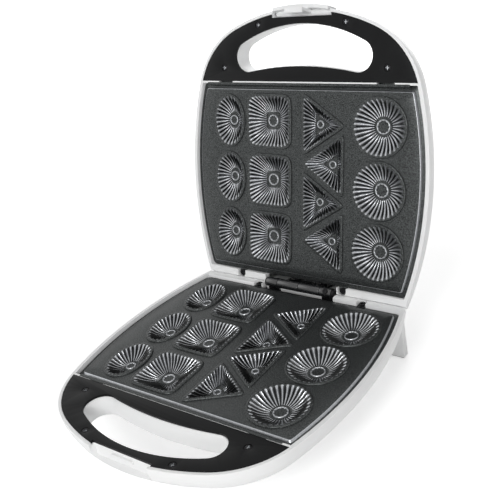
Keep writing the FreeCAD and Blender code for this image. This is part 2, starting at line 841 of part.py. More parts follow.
def thermostat():
    """Disc thermostat held against the centre mould through the reflector."""
    top = cavity_depth + cup_wall + pin_clearance
    half = thermostat_foot / 2
    foot_reach = thermostat_diameter / 2
    bottom = top + thermostat_foot / 6 + thermostat_height
    can = upright(0, thermostat_at, (bottom - thermostat_height, bottom), thermostat_diameter)
    foot = box((-half, half), (thermostat_at - foot_reach, thermostat_at + foot_reach),
               (top, top + thermostat_foot / 4))
    solids = [can, foot]
    for side in (-1, 1):
        across = (side * blade_across - blade_width / 2, side * blade_across + blade_width / 2)
        faces = (thermostat_at, thermostat_at + blade_thickness)
        solids.append(box(across, faces, (bottom - bite, bottom + blade_length)))
    return join(solids)


def thermal_fuse(across):
    """Fuse body lying in a clip on the reflector."""
    seat = reflector_depth + reflector_thickness
    half = fuse_clip_length / 2
    clip = box((across - half, across + half),
               (fuse_at - fuse_clip_width / 2, fuse_at + fuse_clip_width / 2),
               (seat, seat + fuse_clip_height))
    body = crossways((across - fuse_length / 2, across + fuse_length / 2), fuse_at,
                     seat + fuse_clip_height / 2, fuse_diameter)
    return join([clip, body])


def terminal_block():
    """Three-way block for the mains wires on the floor of the base."""
    floor = shell_depth - wall
    top = floor - terminal_height
    half = terminal_width / 2
    block = box((terminal_across - half, terminal_across + half),
                (terminal_at - terminal_length / 2, terminal_at + terminal_length / 2), (top, floor))
    for index in (-1, 0, 1):
        across = terminal_across + index * terminal_pitch
        hole = upright(across, terminal_at, (top - bite, top + terminal_hole_depth), terminal_hole)
        block = block.cut(hole)
    return block


def hinge_pin():
    """Hinge pin with a head at its right end."""
    head_face = hinge_half_length + fit
    shaft = crossways((-hinge_half_length - pin_tail, head_face + bite), 0, 0, pin_diameter)
    head = crossways((head_face, head_face + pin_head_height), 0, 0, pin_head_diameter)
    return shaft.fuse(head).removeSplitter()


def pin_retainer():
    """Ring that keeps the hinge pin in at its left end."""
    face = -hinge_half_length - fit
    ring = crossways((face - retainer_thickness, face), 0, 0, pin_head_diameter)
    return ring.cut(crossways((-far, far), 0, 0, pin_diameter + 2 * pin_clearance))


def latch_pin():
    half = latch_half_width + latch_pin_reach
    return crossways((-half, half), latch_pivot_at, latch_pivot_depth, latch_pin_diameter)


def flip(shape):
    """Turn a base-side half into a lid half and swing it open."""
    lid = shape.mirror(FreeCAD.Vector(0, 0, 0), FreeCAD.Vector(0, 0, 1))
    lid.rotate(FreeCAD.Vector(0, 0, 0), FreeCAD.Vector(1, 0, 0), -lid_open_angle)
    return lid


def swing_latch(shape):
    """Turn the latch clip outwards to where its hook clears the ledge."""
    shape.rotate(point(0, latch_pivot_at, latch_pivot_depth), FreeCAD.Vector(1, 0, 0), latch_rest_angle)
    return shape


shell_blank = shell_body()
plate = plate_blank()
outer_knuckles = [(-hinge_half_length, -lid_knuckle_reach - knuckle_gap),
                  (lid_knuckle_reach + knuckle_gap, hinge_half_length)]
inner_knuckles = [(-lid_knuckle_reach, -knuckle_gap / 2), (knuckle_gap / 2, lid_knuckle_reach)]
base_bracket = hinge_bracket(outer_knuckles, hinge_half_length)

nodes = {
    "base_shell": base_shell(shell_blank),
    "base_handle_trim": handle_trim(),
    "base_trim_screws": trim_screw_set(),
    "base_mold_plate": with_tabs(plate, base_tabs),
    "base_plate_screws": plate_screw_set(base_tabs),
    "base_heating_element": heating_element(),
    "base_reflector": reflector(),
    "thermostat": thermostat(),
    "base_thermal_fuse": thermal_fuse(fuse_across),
    "terminal_block": terminal_block(),
    "cord_gland": cord_gland(),
    "rubber_feet": feet(),
    "base_hinge_bracket": base_bracket.cut(set_screw_seat_cut()),
    "base_hinge_screws": leaf_screw_set(),
    "hinge_pin": hinge_pin(),
    "pin_retainer": pin_retainer(),
    "hinge_set_screw": set_screw(),
    "lid_shell": flip(lid_shell(shell_blank)),
    "lid_handle_trim": flip(handle_trim()),
    "lid_trim_screws": flip(trim_screw_set()),
    "lid_mold_plate": flip(with_tabs(plate, lid_tabs)),
    "lid_plate_screws": flip(plate_screw_set(lid_tabs)),
    "lid_heating_element": flip(heating_element()),
    "lid_reflector": flip(reflector()),
    "lid_thermal_fuse": flip(thermal_fuse(-fuse_across)),
    "lid_hinge_bracket": flip(hinge_bracket(inner_knuckles, lid_knuckle_reach)),
    "lid_hinge_screws": flip(leaf_screw_set()),
    "power_lamp_lens": flip(lamp_lens(-1)),
    "ready_lamp_lens": flip(lamp_lens(1)),
    "lamp_bulbs": flip(lamps()),
    "latch_pin": flip(latch_pin()),
    "latch": flip(swing_latch(latch())),
}

everything = Part.makeCompound(list(nodes.values())).optimalBoundingBox(False)
lift = FreeCAD.Vector(-everything.Center.x, -everything.Center.y, -everything.ZMin)
os.makedirs("parts", exist_ok=True)
for name, shape in nodes.items():
    shape.translate(lift)
    shape.exportStep("parts/" + name + ".step")
print("hinge axis passes", [round(value, 3) for value in lift])
print("size", round(everything.XLength, 2), round(everything.YLength, 2), round(everything.ZLength, 2))
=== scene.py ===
import json
import math

import bmesh
import bpy
from mathutils import Matrix, Vector
from mathutils.geometry import delaunay_2d_cdt


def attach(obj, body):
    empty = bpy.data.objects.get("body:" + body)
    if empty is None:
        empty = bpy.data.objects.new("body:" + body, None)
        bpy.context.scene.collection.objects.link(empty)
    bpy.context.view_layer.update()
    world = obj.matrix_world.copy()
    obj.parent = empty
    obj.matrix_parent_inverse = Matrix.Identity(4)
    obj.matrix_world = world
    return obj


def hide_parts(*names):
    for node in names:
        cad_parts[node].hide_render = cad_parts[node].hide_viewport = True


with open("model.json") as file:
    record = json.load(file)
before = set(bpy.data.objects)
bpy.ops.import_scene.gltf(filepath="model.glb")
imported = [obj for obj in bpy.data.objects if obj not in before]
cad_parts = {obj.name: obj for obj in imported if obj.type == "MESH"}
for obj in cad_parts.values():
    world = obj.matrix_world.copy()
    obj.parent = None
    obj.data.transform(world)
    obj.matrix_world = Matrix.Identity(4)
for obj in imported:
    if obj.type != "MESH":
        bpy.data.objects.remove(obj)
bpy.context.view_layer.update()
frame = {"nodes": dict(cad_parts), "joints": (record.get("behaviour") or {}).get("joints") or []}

# Base and lid shells: two injection-moulded ABS halves that carry every other piece.
# Their rims meet when the baker is shut, and the front end of each is pierced by a
# finger opening. The base also has two legs at the back that hold it level.
MM = 0.001


def linear(hex_colour):
    """Turn an sRGB hex value into the linear colour that a shader socket takes."""
    parts = [int(hex_colour[i:i + 2], 16) / 255 for i in (1, 3, 5)]
    return [c / 12.92 if c <= 0.04045 else ((c + 0.055) / 1.055) ** 2.4 for c in parts] + [1.0]


def add_node(tree, kind, settings, inputs):
    """Add a node, set its settings and give each input a constant or a link."""
    made = tree.nodes.new(kind)
    for name, value in settings.items():
        setattr(made, name, value)
    for name, value in inputs.items():
        if isinstance(value, bpy.types.NodeSocket):
            tree.links.new(value, made.inputs[name])
        else:
            made.inputs[name].default_value = value
    return made


def new_surface(name, sockets):
    """Make a material and set its shader; return it, its tree, its shader and the object place."""
    material = bpy.data.materials.new(name)
    material.use_nodes = True
    tree = material.node_tree
    shader = tree.nodes["Principled BSDF"]
    for socket, value in sockets.items():
        shader.inputs[socket].default_value = value
    place = add_node(tree, "ShaderNodeTexCoord", {}, {}).outputs["Object"]
    return material, tree, shader, place


def waves_per_metre(size_mm):
    """Texture scale that gives features of a real size in millimetres."""
    return 1000.0 / size_mm


def dress(node_name, material, edge_mm, sharp_deg=35.0):
    """Give a CAD node its material and round its edges a little, as its maker leaves them."""
    piece = frame["nodes"][node_name]
    piece.data.materials.clear()
    piece.data.materials.append(material)
    weld = piece.modifiers.new("weld", "WELD")
    weld.merge_threshold = 0.01 * MM
    bevel = piece.modifiers.new("edge_round", "BEVEL")
    bevel.width = edge_mm * MM
    bevel.segments = 3
    bevel.limit_method = "ANGLE"
    bevel.angle_limit = math.radians(sharp_deg)
    bevel.use_clamp_overlap = True
    bevel.harden_normals = True
    for polygon in piece.data.polygons:
        polygon.use_smooth = True
    piece.data.set_sharp_from_angle(angle=math.radians(sharp_deg))


# ABS moulded in a polished tool: clean white, a soft broad gloss, a slight cloudiness in the
# colour and a faint orange peel where the plastic sank.
shell_tone_mm = 60.0
orange_peel_mm = 2.5
white_abs, tree, shader, place = new_surface("moulded_white_abs", {"IOR": 1.54})
cloud = add_node(tree, "ShaderNodeTexNoise", {}, {
    "Vector": place, "Scale": waves_per_metre(shell_tone_mm), "Detail": 2.0})
tint = add_node(tree, "ShaderNodeMix", {"data_type": "RGBA"}, {
    "Factor": cloud.outputs["Fac"], 6: linear("#e8e9ea"), 7: linear("#f1f1f0")})
tree.links.new(tint.outputs[2], shader.inputs["Base Color"])
peel = add_node(tree, "ShaderNodeTexNoise", {}, {
    "Vector": place, "Scale": waves_per_metre(orange_peel_mm), "Detail": 1.0})
gloss = add_node(tree, "ShaderNodeMapRange", {}, {
    "Value": cloud.outputs["Fac"], "To Min": 0.28, "To Max": 0.38})
tree.links.new(gloss.outputs["Result"], shader.inputs["Roughness"])
dimples = add_node(tree, "ShaderNodeBump", {}, {
    "Height": peel.outputs["Fac"], "Strength": 0.05, "Distance": 0.05 * MM})
tree.links.new(dimples.outputs["Normal"], shader.inputs["Normal"])
shell_edge_mm = 0.6
dress("base_shell", white_abs, shell_edge_mm)
dress("lid_shell", white_abs, shell_edge_mm)

# Latch clip: an arched ABS clip on the lid's nose whose hook snaps under the base's ledge.
# It swings on a plain turned steel pin pressed through the lid's front wall.
latch_edge_mm = 0.5
dress("latch", white_abs, latch_edge_mm)


def bands_per_metre(size_mm):
    """Wave texture scale for bands of a real size: the texture turns 20 radians a unit."""
    return 2 * math.pi * 1000.0 / size_mm / 20


# Turned steel: a bright grey metal with fine rings from the tool, drawn about 3 mm apart so that
# they show.
turning_mm = 3.1416
pin_edge_mm = 0.3
turned_steel, tree, shader, place = new_surface("turned_steel", {"Metallic": 1.0})
rings = add_node(tree, "ShaderNodeTexWave", {"wave_type": "BANDS", "bands_direction": "X"}, {
    "Vector": place, "Scale": bands_per_metre(turning_mm), "Distortion": 0.6, "Detail": 2.0})
shade = add_node(tree, "ShaderNodeMix", {"data_type": "RGBA"}, {
    "Factor": rings.outputs["Fac"], 6: linear("#8d8f92"), 7: linear("#b4b6b8")})
tree.links.new(shade.outputs[2], shader.inputs["Base Color"])
polish = add_node(tree, "ShaderNodeMapRange", {}, {
    "Value": rings.outputs["Fac"], "To Min": 0.22, "To Max": 0.36})
tree.links.new(polish.outputs["Result"], shader.inputs["Roughness"])
dress("latch_pin", turned_steel, pin_edge_mm)

# Handle trims: flat black polypropylene covers that close the hollow handles.
# Each has the finger opening and a notch for the latch, and four screws hold it down.
# A spark-eroded tool gives the face a fine satin grain.
trim_grain_mm = 0.8
handling_mm = 18.0
trim_edge_mm = 0.45
black_trim, tree, shader, place = new_surface("spark_grained_black_polypropylene", {
    "IOR": 1.49, "Specular IOR Level": 0.14})
grain = add_node(tree, "ShaderNodeTexVoronoi", {}, {
    "Vector": place, "Scale": waves_per_metre(trim_grain_mm)})
handled = add_node(tree, "ShaderNodeTexNoise", {}, {
    "Vector": place, "Scale": waves_per_metre(handling_mm), "Detail": 3.0})
tint = add_node(tree, "ShaderNodeMix", {"data_type": "RGBA"}, {
    "Factor": handled.outputs["Fac"], 6: linear("#070708"), 7: linear("#0f1011")})
tree.links.new(tint.outputs[2], shader.inputs["Base Color"])
rub = add_node(tree, "ShaderNodeMapRange", {}, {
    "Value": handled.outputs["Fac"], "To Min": 0.34, "To Max": 0.5})
tree.links.new(rub.outputs["Result"], shader.inputs["Roughness"])
grain_bump = add_node(tree, "ShaderNodeBump", {}, {
    "Height": grain.outputs["Distance"], "Strength": 0.14, "Distance": 0.06 * MM})
tree.links.new(grain_bump.outputs["Normal"], shader.inputs["Normal"])
dress("base_handle_trim", black_trim, trim_edge_mm)
dress("lid_handle_trim", black_trim, trim_edge_mm)

# Screws of the trims and plates: small cross-head steel screws, blackened in hot oil.
# The oxide is a deep brown grey that the driver wears to bare steel in the cross. Those of the
# trims are meshes that stand for the CAD screws, with low heads that clear each other when shut.
oxide_mm = 1.4
screw_edge_mm = 0.4
black_oxide, tree, shader, place = new_surface("black_oxide_steel", {
    "Metallic": 0.5, "Specular IOR Level": 0.2})
wear = add_node(tree, "ShaderNodeTexNoise", {}, {
    "Vector": place, "Scale": waves_per_metre(oxide_mm), "Detail": 3.0})
patina = add_node(tree, "ShaderNodeMix", {"data_type": "RGBA"}, {
    "Factor": wear.outputs["Fac"], 6: linear("#0d0d0e"), 7: linear("#2c2c2e")})
tree.links.new(patina.outputs[2], shader.inputs["Base Color"])
polish = add_node(tree, "ShaderNodeMapRange", {}, {
    "Value": wear.outputs["Fac"], "To Min": 0.42, "To Max": 0.26})
tree.links.new(polish.outputs["Result"], shader.inputs["Roughness"])
dress("base_plate_screws", black_oxide, screw_edge_mm)
dress("lid_plate_screws", black_oxide, screw_edge_mm)

hinge = next(joint for joint in frame["joints"] if joint["name"] == "lid_hinge")
hinge_place = Vector(hinge["pos_m"])
open_angle = math.radians(hinge["range_deg"][1])


def on_base(across, forward, depth):
    """Row place of a point given across, forward of the hinge and below the meeting plane."""
    return hinge_place + Vector((across, -forward, -depth)) * MM


def on_lid(across, forward, depth):
    """The same point of the lid, which stands open."""
    swung = Vector((across,
                    depth * math.sin(open_angle) - forward * math.cos(open_angle),
                    forward * math.sin(open_angle) + depth * math.cos(open_angle)))
    return hinge_place + swung * MM


oxide_skin, bare_cross = range(2)
screw_sharp_deg = 40.0
steps_to_corner = 4
trim_screws_mm = ((-80.5, 189.0), (-43.0, 224.4), (43.0, 224.4), (80.5, 189.0))
cross_half_width_mm = 0.42
cross_half_length_mm = 1.5
cross_floor_mm = 1.0
head_top_mm = 0.32
# Radius and depth of the rings down the outside of a screw, from the edge of its flat top
screw_rings_mm = ((1.95, 0.32), (2.45, 0.45), (2.66, 0.68), (2.7, 0.9), (2.7, 1.15),
                  (1.4, 1.15), (1.4, 8.7), (0.6, 9.15))


def cross_reach(angle):
    """Distance from a screw's axis to the edge of its cross in one direction."""
    turn = (angle + math.pi / 4) % (math.pi / 2) - math.pi / 4
    if abs(math.tan(turn)) <= cross_half_width_mm / cross_half_length_mm:
        return cross_half_length_mm / math.cos(turn)
    return cross_half_width_mm / abs(math.sin(turn))


def add_screw(mesh, put, across, forward):
    """One screw as rings about its axis, from the floor of its cross to its tip."""
    corner = math.atan2(cross_half_width_mm, cross_half_length_mm)
    between = [corner + (math.pi / 4 - corner) * step / steps_to_corner
               for step in range(steps_to_corner + 1)]
    turns = [-turn for turn in reversed(between)] + [0.0] + between[:-1]
    angles = [quarter * math.pi / 2 + turn for quarter in range(4) for turn in turns]
    cross = [cross_reach(angle) for angle in angles]
    rings = [(cross, cross_floor_mm), (cross, head_top_mm)]
    rings += [([radius] * len(angles), depth) for radius, depth in screw_rings_mm]
    loops = []
    for reaches, depth in rings:
        loops.append([mesh.verts.new(put(across + reach * math.cos(angle),
                                         forward + reach * math.sin(angle), depth))
                      for reach, angle in zip(reaches, angles)])
    for level, (upper, lower) in enumerate(zip(loops, loops[1:])):
        for k in range(len(angles)):
            following = (k + 1) % len(angles)
            wall = mesh.faces.new((upper[k], upper[following], lower[following], lower[k]))
            wall.material_index = bare_cross if level == 0 else oxide_skin
    mesh.faces.new(loops[0]).material_index = bare_cross
    mesh.faces.new(loops[-1])


def add_object(mesh, name, materials, sharp_deg):
    """Turn a built mesh into a smooth object that keeps its sharp edges."""
    bmesh.ops.recalc_face_normals(mesh, faces=mesh.faces)
    data = bpy.data.meshes.new(name)
    mesh.to_mesh(data)
    mesh.free()
    for polygon in data.polygons:
        polygon.use_smooth = True
    data.set_sharp_from_angle(angle=math.radians(sharp_deg))
    for material in materials:
        data.materials.append(material)
    made = bpy.data.objects.new(name, data)
    bpy.context.scene.collection.objects.link(made)
    return made


def add_trim_screws(name, put, body, replaced):
    """The four screws of one trim, standing for the CAD screws."""
    mesh = bmesh.new()
    for across, forward in trim_screws_mm:
        add_screw(mesh, put, across, forward)
    screws = add_object(mesh, name, (black_oxide, turned_steel), screw_sharp_deg)
    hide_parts(replaced)
    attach(screws, body)


add_trim_screws("base_trim_low_screws", on_base, "base", "base_trim_screws")
add_trim_screws("lid_trim_low_screws", on_lid, "lid", "lid_trim_screws")

# Mould plates: aluminium castings with a sprayed dark non-stick coat. Each has thirteen fluted
# moulds inside raised lips, a screw tab at either side of the hinge and two locating tongues.
# The meshes stand for the CAD plates and give the flutes and the lips their rounded edges.

# The coat is a charcoal resin with fine bright flakes, drawn at 0.7 mm so that they show. A bright,
# more metallic copy of it is painted highlight in the grooves of the flutes, on the centre beads and
# the border's step, and a near-black copy is painted shade on the ridges of the flutes.
flake_mm = 0.7
plate_sharp_deg = 50.0
plate_coats = []
for finish, dark, pale, metal, smooth, rough, pebble in (
        ("sprayed_nonstick_coat", "#191b1b", "#5c5f5f", 0.6, 0.28, 0.42, 0.25),
        ("nonstick_coat_painted_highlight", "#94969a", "#c2c4c6", 0.9, 0.26, 0.32, 0.04),
        ("nonstick_coat_painted_shade", "#0b0c0c", "#202222", 0.3, 0.34, 0.44, 0.06)):
    coat, tree, shader, place = new_surface(finish, {"IOR": 1.42, "Metallic": metal})
    flakes = add_node(tree, "ShaderNodeTexNoise", {}, {
        "Vector": place, "Scale": waves_per_metre(flake_mm), "Detail": 3.0})
    fleck = add_node(tree, "ShaderNodeValToRGB", {}, {"Fac": flakes.outputs["Fac"]})
    fleck.color_ramp.elements[0].color = linear(dark)
    fleck.color_ramp.elements[0].position = 0.36
    fleck.color_ramp.elements[1].color = linear(pale)
    fleck.color_ramp.elements[1].position = 0.74
    tree.links.new(fleck.outputs["Color"], shader.inputs["Base Color"])
    gloss = add_node(tree, "ShaderNodeMapRange", {}, {
        "Value": flakes.outputs["Fac"], "To Min": smooth, "To Max": rough})
    tree.links.new(gloss.outputs["Result"], shader.inputs["Roughness"])
    spray = add_node(tree, "ShaderNodeBump", {}, {
        "Height": flakes.outputs["Fac"], "Strength": pebble, "Distance": 0.05 * MM})
    tree.links.new(spray.outputs["Normal"], shader.inputs["Normal"])
    plate_coats.append(coat)
field_coat, painted_highlight_coat, painted_shade_coat = range(len(plate_coats))

rim_half_mm = 119.0
side_radius_mm = 2.5924 * rim_half_mm
side_centre_mm = rim_half_mm - side_radius_mm
side_widest_mm = 100.0
plate_inset_mm = 3.5
plate_back_mm = 6.2
plate_front_mm = 175.5
plate_border_mm = 5.0
field_mm = 1.6
flange_mm = 3.6
plate_under_mm = 6.6
lip_mm = 0.4
lip_width_mm = 2.0
cavity_mm = 8.2
lip_stations = 5
bowl_power = 2.0
flute_mm = 2.3
points_per_flute = 8
bowl_steps = 11
bead_width_mm = 1.4
bead_height_mm = 1.0
bead_notches = 10
bead_notch_mm = 0.3
tab_width_mm = 8.0
tab_screw_mm = 3.4
tongue_mm = 79.5
tongue_width_mm = 15.0
tongue_length_mm = 3.2
lip_round_mm = 0.25
bead_clear_mm = 0.7
lug_root_mm = 1.0
front_lip_half_mm = 100.0
front_lip_under_mm = 0.24
# Forward place and depth down the front lip's section, from its root on the flange to its tip,
# where the last points move with the reach of the lip
front_lip_root_mm = ((174.2, 3.6), (174.3, 0.6), (174.6, 0.22), (175.0, 0.12))
front_lip_tip_mm = ((-0.25, 0.12), (0.0, 0.18), (0.0, front_lip_under_mm))

# Sides and sharpness of the outline, half sizes, flutes and bead radius of each kind of mould,
# then the place of each mould across and forward of the hinge, and the way that it faces
round_mould = (4, 2.0, 22.8, 22.8, 32, 6.2)
square_mould = (4, 6.0, 21.6, 21.6, 40, 5.4)
oval_mould = (4, 2.0, 15.3, 21.8, 28, 4.6)
triangle_mould = (3, 8.0, 12.4, 13.9, 33, 3.6)
moulds = [(round_mould, 74.5, forward, 1) for forward in (143.0, 91.9, 40.7)]
moulds += [(square_mould, -33.0, forward, 1) for forward in (143.9, 92.2, 40.7)]
moulds += [(oval_mould, -76.5, forward, 1) for forward in (143.0, 92.0, 40.8)]
moulds += [(triangle_mould, 15.6, forward, -1) for forward in (142.6, 76.6)]
moulds += [(triangle_mould, 28.0, forward, 1) for forward in (109.6, 43.6)]


def side_across(inset, forward):
    """Half width of the bowed plate at a distance forward of the hinge."""
    reach = side_radius_mm - inset
    return side_centre_mm + math.sqrt(reach ** 2 - (forward - side_widest_mm) ** 2)


def plate_loop(inset):
    """Plate outline with bowed sides and rounded corners, drawn round from the back."""
    corner = max(4.0 - 0.4 * inset, 1.5)
    back_at = plate_back_mm + inset
    front_at = plate_front_mm - inset
    grown = plate_inset_mm + inset
    steps = 24
    right = []
    for k in range(steps + 1):
        forward = back_at + corner + (front_at - back_at - 2 * corner) * k / steps
        right.append((side_across(grown, forward), forward))
    ends = []
    for at, sign in ((back_at, 1), (front_at, -1)):
        tip = (side_across(grown, at), at)
        start = (side_across(grown, at + sign * corner), at + sign * corner)
        stop = (tip[0] - corner, at)
        bend = []
        for t in (0.2, 0.4, 0.6, 0.8, 1.0):
            bend.append(tuple((1 - t) ** 2 * s + 2 * t * (1 - t) * m + t * t * e
                              for s, m, e in zip(start, tip, stop)))
        ends.append(bend)
    half = ends[0][::-1] + right + ends[1]
    return half + [(-across, forward) for across, forward in half[::-1]]


def mould_outline(mould, grow):
    """Points spaced evenly along a mould outline about its own centre."""
    sides, sharpness, half_width, half_length, flutes = mould[:5]
    count = points_per_flute * flutes
    fine = 1440
    curve = []
    for k in range(fine + 1):
        angle = 2 * math.pi * k / fine
        total = sum(max(0.0, math.cos(angle - 2 * math.pi * side / sides)) ** sharpness
                    for side in range(sides))
        reach = total ** (-1 / sharpness)
        curve.append(((half_width + grow) * reach * math.cos(angle),
                      (half_length + grow) * reach * math.sin(angle)))
    travelled = [0.0]
    for k in range(fine):
        travelled.append(travelled[-1] + math.dist(curve[k], curve[k + 1]))
    points = []
    k = 0
    for index in range(count):
        target = travelled[-1] * index / count
        while travelled[k + 1] < target:
            k += 1
        t = (target - travelled[k]) / (travelled[k + 1] - travelled[k])
        points.append(tuple(a + (b - a) * t for a, b in zip(curve[k], curve[k + 1])))
    return points


def mould_profile(mould):
    """Stations from the lip's foot to the bead: scale, growth, depth, ridge reach and ridge lift."""
    mean = (mould[2] + mould[3]) / 2
    floor_scale = (mould[5] + bead_clear_mm) / mean
    wide = lip_width_mm
    stations = [(1, wide, field_mm, 0, 0), (1, wide - 0.12, field_mm - 0.45, 0, 0),
                (1, wide - 0.3, lip_mm + 0.2, 0, 0), (1, wide - 0.6, lip_mm, 0, 0),
                (1, lip_round_mm, lip_mm, 0.9 * flute_mm, 0),
                (1, 0.0, lip_mm + lip_round_mm, flute_mm, 0)]
    fall = cavity_mm - lip_mm - lip_round_mm
    for k in range(1, bowl_steps + 1):
        t = k / bowl_steps
        scale = 1 - t * (1 - floor_scale)
        run = (1 - floor_scale) * mean
        drop = fall * bowl_power * (1 - t) ** (bowl_power - 1)
        length = math.hypot(run, drop)
        height = flute_mm * (scale if k < bowl_steps else 0.0)
        depth = cavity_mm - fall * (1 - t) ** bowl_power
        stations.append((scale, 0.0, depth, height * drop / length, height * run / length))
    return stations


def add_mould(mesh, put, mould, across, forward, facing):
    """Lip, fluted bowl and centre bead of one mould; returns the loop at the lip's foot."""
    count = points_per_flute * mould[4]
    stations = mould_profile(mould)
    outlines = {grow: mould_outline(mould, grow) for grow in {station[1] for station in stations}}
    loops = []
    for scale, grow, depth, reach, lift in stations:
        loop = []
        for j, (x, y) in enumerate(outlines[grow]):
            ridge = 1 - abs(math.sin(math.pi * j / points_per_flute))
            drawn = scale - reach * ridge / math.hypot(x, y)
            loop.append(mesh.verts.new(put(across + facing * x * drawn, forward + y * drawn,
                                           depth - lift * ridge)))
        loops.append(loop)
    bead = mould[5]
    inner = bead - bead_width_mm
    top = cavity_mm - bead_height_mm
    for radius, depth, notch in ((bead, cavity_mm - 0.1, 0), (bead - 0.2, top + 0.25, 0),
                                 (bead - 0.5, top, 0), (inner + 0.45, top, bead_notch_mm),
                                 (inner + 0.15, top + 0.25, bead_notch_mm),
                                 (inner, cavity_mm - 0.1, bead_notch_mm), (0.4, cavity_mm, 0)):
        loop = []
        for x, y in outlines[0.0]:
            angle = math.atan2(y, x)
            reach = radius + notch * math.cos(bead_notches * angle)
            loop.append(mesh.verts.new(put(across + facing * reach * math.cos(angle),
                                           forward + reach * math.sin(angle), depth)))
        loops.append(loop)
    for ring, (outer, within) in enumerate(zip(loops, loops[1:])):
        for j in range(count):
            following = (j + 1) % count
            face = mesh.faces.new((outer[j], outer[following], within[following], within[j]))
            across_flute = j % points_per_flute / points_per_flute
            # Painted highlight on the flute grooves and the centre bead, painted shade on the flute
            # ridges.
            if lip_stations <= ring < len(stations) - 2:
                face.material_index = painted_highlight_coat if 0.25 <= across_flute < 0.75 else painted_shade_coat
            elif len(stations) <= ring < len(loops) - 2:
                face.material_index = painted_highlight_coat
            else:
                face.material_index = field_coat
    mesh.faces.new(loops[-1])
    return loops[0]


def fill_field(mesh, border, lips):
    """Flat field between the plate's border and the feet of the mould lips."""
    flat = [Vector(place) for place in plate_loop(plate_border_mm)]
    verts = list(border)
    owner = [-1] * len(border)
    edges = [(k, (k + 1) % len(border)) for k in range(len(border))]
    for index, (mould, across, forward, facing) in enumerate(moulds):
        first = len(verts)
        outline = mould_outline(mould, lip_width_mm)
        flat += [Vector((across + facing * x, forward + y)) for x, y in outline]
        verts += lips[index]
        owner += [index] * len(outline)
        edges += [(first + k, first + (k + 1) % len(outline)) for k in range(len(outline))]
    for corners in delaunay_2d_cdt(flat, edges, [], 0, 1e-6)[2]:
        owners = {owner[corner] for corner in corners}
        if len(owners) > 1 or owners == {-1}:
            mesh.faces.new([verts[corner] for corner in corners])


def add_lug(mesh, put, outline):
    """Flat lug of the flange's thickness with a small rounded top edge."""
    loops = []
    centre = [sum(values) / len(outline) for values in zip(*outline)]
    for drawn, depth in ((0.95, flange_mm), (1.0, flange_mm + 0.25), (1.0, plate_under_mm)):
        loops.append([mesh.verts.new(put(centre[0] + drawn * (across - centre[0]),
                                         centre[1] + drawn * (forward - centre[1]), depth))
                      for across, forward in outline])
    mesh.faces.new(loops[0])
    for upper, lower in zip(loops, loops[1:]):
        for k in range(len(outline)):
            following = (k + 1) % len(outline)
            mesh.faces.new((upper[k], upper[following], lower[following], lower[k]))


def screw_tab(across):
    """Outline of a rear tab with a round end about its screw."""
    half = tab_width_mm / 2
    turns = [math.pi * k / 12 for k in range(13)]
    end = [(across + half * math.cos(turn), tab_screw_mm - half * math.sin(turn)) for turn in turns]
    root = plate_back_mm + lug_root_mm
    return [(across + half, root)] + end + [(across - half, root)]


def tongue(across):
    """Outline of a tongue at the front edge that locates the plate under the shell."""
    half = tongue_width_mm / 2
    front = plate_front_mm + tongue_length_mm
    root = plate_front_mm - lug_root_mm
    return [(across - half, root), (across - half, front),
            (across + half, front), (across + half, root)]


def add_front_lip(mesh, put, reach):
    """Thin lip along the plate's front edge that rests on the shell's cross wall."""
    section = list(front_lip_root_mm)
    section += [(reach + back, depth) for back, depth in front_lip_tip_mm]
    section += [(plate_front_mm, front_lip_under_mm), (plate_front_mm, flange_mm)]
    ends = [[mesh.verts.new(put(across, forward, depth)) for forward, depth in section]
            for across in (-front_lip_half_mm, front_lip_half_mm)]
    for k in range(len(section)):
        following = (k + 1) % len(section)
        mesh.faces.new((ends[0][k], ends[0][following], ends[1][following], ends[1][k]))
    for end in ends:
        mesh.faces.new(end)


def add_plate(name, put, body, tabs, lip_reach, replaced):
    """One whole plate as a mesh that stands for the CAD plate."""
    mesh = bmesh.new()
    add_front_lip(mesh, put, lip_reach)
    for across in tabs:
        add_lug(mesh, put, screw_tab(across))
    for across in (-tongue_mm, tongue_mm):
        add_lug(mesh, put, tongue(across))
    borders = []
    for inset, depth in ((plate_border_mm, field_mm), (plate_border_mm - 0.4, field_mm + 0.2),
                         (plate_border_mm - 0.9, flange_mm - 0.2), (plate_border_mm - 1.3, flange_mm),
                         (0.3, flange_mm), (0.0, flange_mm + 0.3), (0.0, plate_under_mm)):
        borders.append([mesh.verts.new(put(across, forward, depth))
                        for across, forward in plate_loop(inset)])
    size = len(borders[0])
    for step, (inner, outer) in enumerate(zip(borders, borders[1:])):
        for k in range(size):
            following = (k + 1) % size
            wall = mesh.faces.new((inner[k], inner[following], outer[following], outer[k]))
            # The first two strips, the step from the field down to the flange, carry a painted
            # highlight.
            wall.material_index = painted_highlight_coat if step < 2 else field_coat
    lips = [add_mould(mesh, put, *mould) for mould in moulds]
    fill_field(mesh, borders[0], lips)
    plate = add_object(mesh, name, plate_coats, plate_sharp_deg)
    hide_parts(replaced)
    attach(plate, body)


add_plate("base_plate_cast", on_base, "base", (-42.5, 64.5), 177.4, "base_mold_plate")
add_plate("lid_plate_cast", on_lid, "lid", (-65.0, 42.5), 176.5, "lid_mold_plate")

# Heating elements: steel-sheathed tubes bent to a loop under the moulds of each plate.
# Bare steel that has been hot turns straw and blue in patches along its length.
heat_band_mm = 35.0
element_edge_mm = 0.2
heated_steel, tree, shader, place = new_surface("heat_tinted_steel", {
    "Metallic": 1.0, "Roughness": 0.38})
bands = add_node(tree, "ShaderNodeTexNoise", {}, {
    "Vector": place, "Scale": waves_per_metre(heat_band_mm), "Detail": 3.0})
tints = add_node(tree, "ShaderNodeValToRGB", {}, {"Fac": bands.outputs["Fac"]})
tints.color_ramp.elements[0].color = linear("#5b5a66")
tints.color_ramp.elements[0].position = 0.35
tints.color_ramp.elements[1].color = linear("#8b7a62")
tints.color_ramp.elements[1].position = 0.68
tree.links.new(tints.outputs["Color"], shader.inputs["Base Color"])
dress("base_heating_element", heated_steel, element_edge_mm)
dress("lid_heating_element", heated_steel, element_edge_mm)

